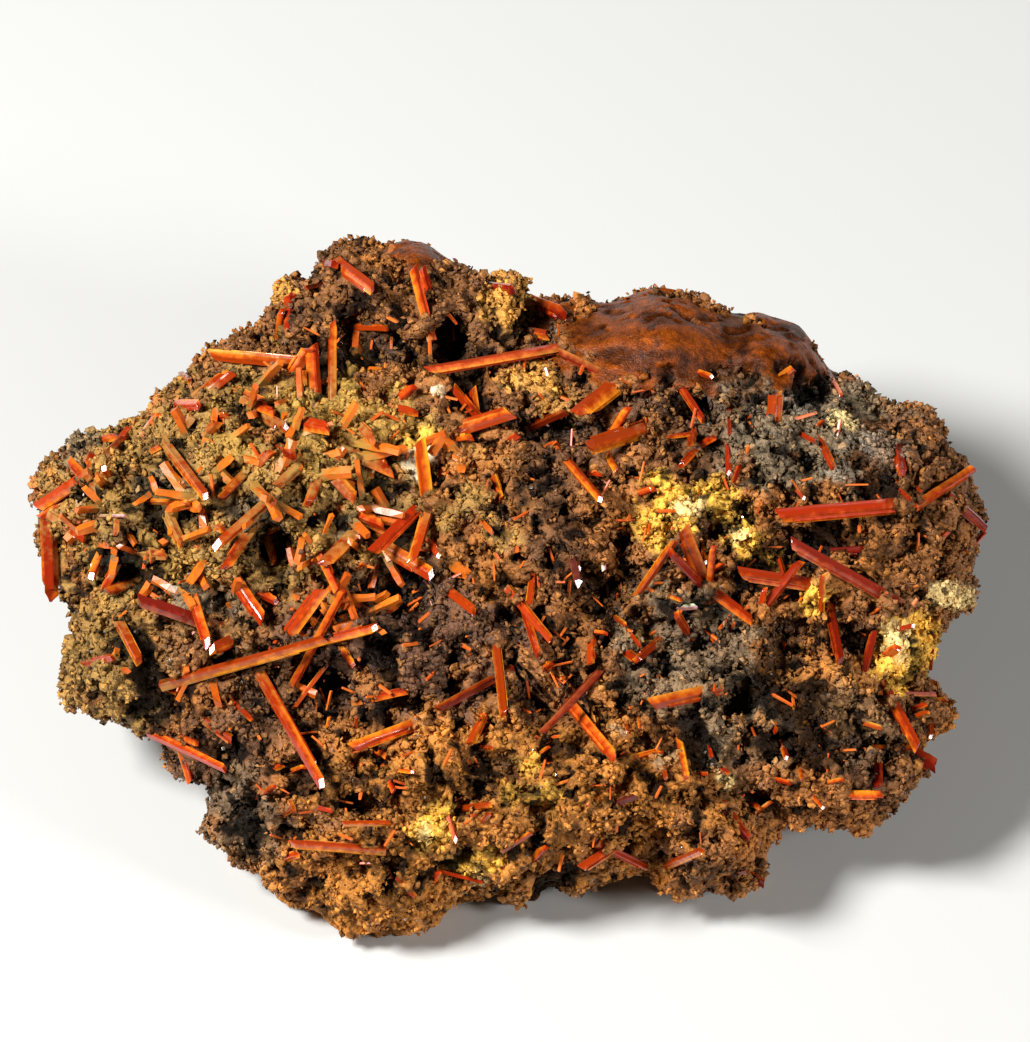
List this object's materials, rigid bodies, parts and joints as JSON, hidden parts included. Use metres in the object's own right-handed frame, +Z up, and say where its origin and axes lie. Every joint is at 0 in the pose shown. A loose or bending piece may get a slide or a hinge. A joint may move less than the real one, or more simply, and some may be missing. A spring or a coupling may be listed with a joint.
{
  "type": "crocoite specimen",
  "caption": "Mineral specimen: orange-red crocoite prisms on a porous brown limonite lump that lies on its flat broken base.",
  "frame": {"origin": "centre of the bounding box's foot, on the surface that the specimen rests on", "axes": "+Z up, +X along the specimen's longest side, -Y towards the viewer; the crystal-covered face leans back and looks towards -Y and +Z"},
  "size_m": [0.105, 0.0794, 0.045],
  "materials": {
    "limonite": "porous, earthy, with small glossy patches",
    "crocoite": "translucent crystal with an adamantine lustre"
  },
  "bodies": {
    "root": {"crystal_blade_middle": "crocoite", "crystal_blade_top": "crocoite", "crystal_centre_amber": "crocoite", "crystal_centre_beam": "crocoite", "crystal_centre_blade": "crocoite", "crystal_centre_brown": "crocoite", "crystal_centre_button": "crocoite", "crystal_centre_dart": "crocoite", "crystal_centre_glassy": "crocoite", "crystal_centre_glint": "crocoite", "crystal_centre_plum": "crocoite", "crystal_centre_short": "crocoite", "crystal_centre_slip": "crocoite", "crystal_centre_spike": "crocoite", "crystal_centre_strong": "crocoite", "crystal_centre_thick": "crocoite", "crystal_centre_upright": "crocoite", "crystal_corner_right": "crocoite", "crystal_cross_left": "crocoite", "crystal_cross_tip": "crocoite", "crystal_cross_upright": "crocoite", "crystal_crown_long": "crocoite", "crystal_crown_needle": "crocoite", "crystal_crown_plate": "crocoite", "crystal_crown_post": "crocoite", "crystal_crown_side": "crocoite", "crystal_crown_slanting": "crocoite", "crystal_crown_vee": "crocoite", "crystal_crust_bar": "crocoite", "crystal_crust_bright": "crocoite", "crystal_crust_corner": "crocoite", "crystal_crust_dusty": "crocoite", "crystal_crust_edge": "crocoite", "crystal_crust_fork": "crocoite", "crystal_crust_hook": "crocoite", "crystal_crust_low": "crocoite", "crystal_crust_plump": "crocoite", "crystal_crust_stub": "crocoite", "crystal_crust_wedge": "crocoite", "crystal_foot_bright": "crocoite", "crystal_foot_left": "crocoite", "crystal_foot_right": "crocoite", "crystal_frame_right": "crocoite", "crystal_knob_right": "crocoite", "crystal_right_beam": "crocoite", "crystal_right_block": "crocoite", "crystal_right_drop": "crocoite", "crystal_right_end": "crocoite", "crystal_right_rose": "crocoite", "crystal_right_sliver": "crocoite", "crystal_right_spear": "crocoite", "crystal_right_tip": "crocoite", "crystal_right_wedge": "crocoite", "crystal_spray_centre": "crocoite", "crystal_spray_right": "crocoite", "crystal_star_right": "crocoite", "crystal_vee_centre": "crocoite", "crystal_vee_foot": "crocoite", "limonite_matrix": "limonite"}
  },
  "joints": []
}
